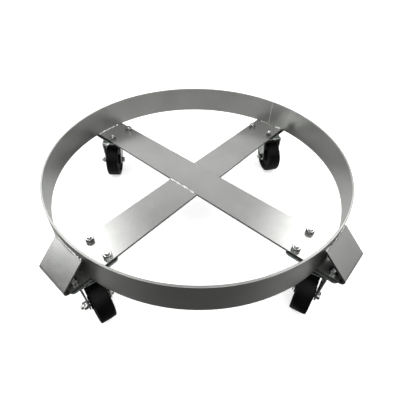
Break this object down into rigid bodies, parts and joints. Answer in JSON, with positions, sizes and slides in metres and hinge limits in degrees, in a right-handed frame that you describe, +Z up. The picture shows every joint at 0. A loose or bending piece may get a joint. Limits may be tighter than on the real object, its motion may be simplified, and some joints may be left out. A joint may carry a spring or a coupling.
{
  "type": "drum dolly",
  "caption": "Round drum dolly: a steel ring on a cross of flat bars whose ends fold back onto the ring, rolling on swivel plate casters with black wheels.",
  "frame": {"origin": "on the floor under the middle of the ring", "axes": "+Z up; +X along the through bar; +Y along the two half bars"},
  "size_m": [0.7058, 0.7058, 0.1768],
  "materials": {
    "powder_coat": "silver-grey metallic powder coat, satin",
    "zinc_plate": "bright zinc plate on pressed steel",
    "steel": "plain steel",
    "black_rubber": "black, slightly glossy"
  },
  "bodies": {
    "frame": {"ring": "powder_coat", "cross_bar": "powder_coat", "front_half_bar": "powder_coat", "back_half_bar": "powder_coat", "right_top_plate": "zinc_plate", "right_king_pin": "steel", "right_plate_bolt_1": "zinc_plate", "right_plate_bolt_2": "zinc_plate", "right_plate_bolt_3": "zinc_plate", "right_plate_bolt_4": "zinc_plate", "back_top_plate": "zinc_plate", "back_king_pin": "steel", "back_plate_bolt_1": "zinc_plate", "back_plate_bolt_2": "zinc_plate", "back_plate_bolt_3": "zinc_plate", "back_plate_bolt_4": "zinc_plate", "left_top_plate": "zinc_plate", "left_king_pin": "steel", "left_plate_bolt_1": "zinc_plate", "left_plate_bolt_2": "zinc_plate", "left_plate_bolt_3": "zinc_plate", "left_plate_bolt_4": "zinc_plate", "front_top_plate": "zinc_plate", "front_king_pin": "steel", "front_plate_bolt_1": "zinc_plate", "front_plate_bolt_2": "zinc_plate", "front_plate_bolt_3": "zinc_plate", "front_plate_bolt_4": "zinc_plate"},
    "right_caster_fork": {"right_fork": "zinc_plate", "right_ball_race": "steel", "right_axle_sleeve": "steel", "right_axle_bolt": "zinc_plate", "right_axle_nut": "zinc_plate"},
    "right_caster_wheel": {"right_wheel": "black_rubber"},
    "back_caster_fork": {"back_fork": "zinc_plate", "back_ball_race": "steel", "back_axle_sleeve": "steel", "back_axle_bolt": "zinc_plate", "back_axle_nut": "zinc_plate"},
    "back_caster_wheel": {"back_wheel": "black_rubber"},
    "left_caster_fork": {"left_fork": "zinc_plate", "left_ball_race": "steel", "left_axle_sleeve": "steel", "left_axle_bolt": "zinc_plate", "left_axle_nut": "zinc_plate"},
    "left_caster_wheel": {"left_wheel": "black_rubber"},
    "front_caster_fork": {"front_fork": "zinc_plate", "front_ball_race": "steel", "front_axle_sleeve": "steel", "front_axle_bolt": "zinc_plate", "front_axle_nut": "zinc_plate"},
    "front_caster_wheel": {"front_wheel": "black_rubber"}
  },
  "joints": [
    {"name": "right_swivel", "type": "hinge", "parent": "frame", "child": "right_caster_fork", "pos_m": [0.2954, 0, 0.102], "axis": [0, 0, 1], "continuous": true},
    {"name": "right_wheel_spin", "type": "hinge", "parent": "right_caster_fork", "child": "right_caster_wheel", "pos_m": [0.30298, -0.03724, 0.042], "axis": [0.9799, 0.1994, 0], "continuous": true},
    {"name": "back_swivel", "type": "hinge", "parent": "frame", "child": "back_caster_fork", "pos_m": [0, 0.2954, 0.102], "axis": [0, 0, 1], "continuous": true},
    {"name": "back_wheel_spin", "type": "hinge", "parent": "back_caster_fork", "child": "back_caster_wheel", "pos_m": [0.03074, 0.27306, 0.042], "axis": [0.5878, 0.809, 0], "continuous": true},
    {"name": "left_swivel", "type": "hinge", "parent": "frame", "child": "left_caster_fork", "pos_m": [-0.2954, 0, 0.102], "axis": [0, 0, 1], "continuous": true},
    {"name": "left_wheel_spin", "type": "hinge", "parent": "left_caster_fork", "child": "left_caster_wheel", "pos_m": [-0.26924, -0.02756, 0.042], "axis": [0.7254, 0.6884, 0], "continuous": true},
    {"name": "front_swivel", "type": "hinge", "parent": "frame", "child": "front_caster_fork", "pos_m": [0, -0.2954, 0.102], "axis": [0, 0, 1], "continuous": true},
    {"name": "front_wheel_spin", "type": "hinge", "parent": "front_caster_fork", "child": "front_caster_wheel", "pos_m": [0.03717, -0.3033, 0.042], "axis": [0.2079, 0.9781, 0], "continuous": true}
  ]
}
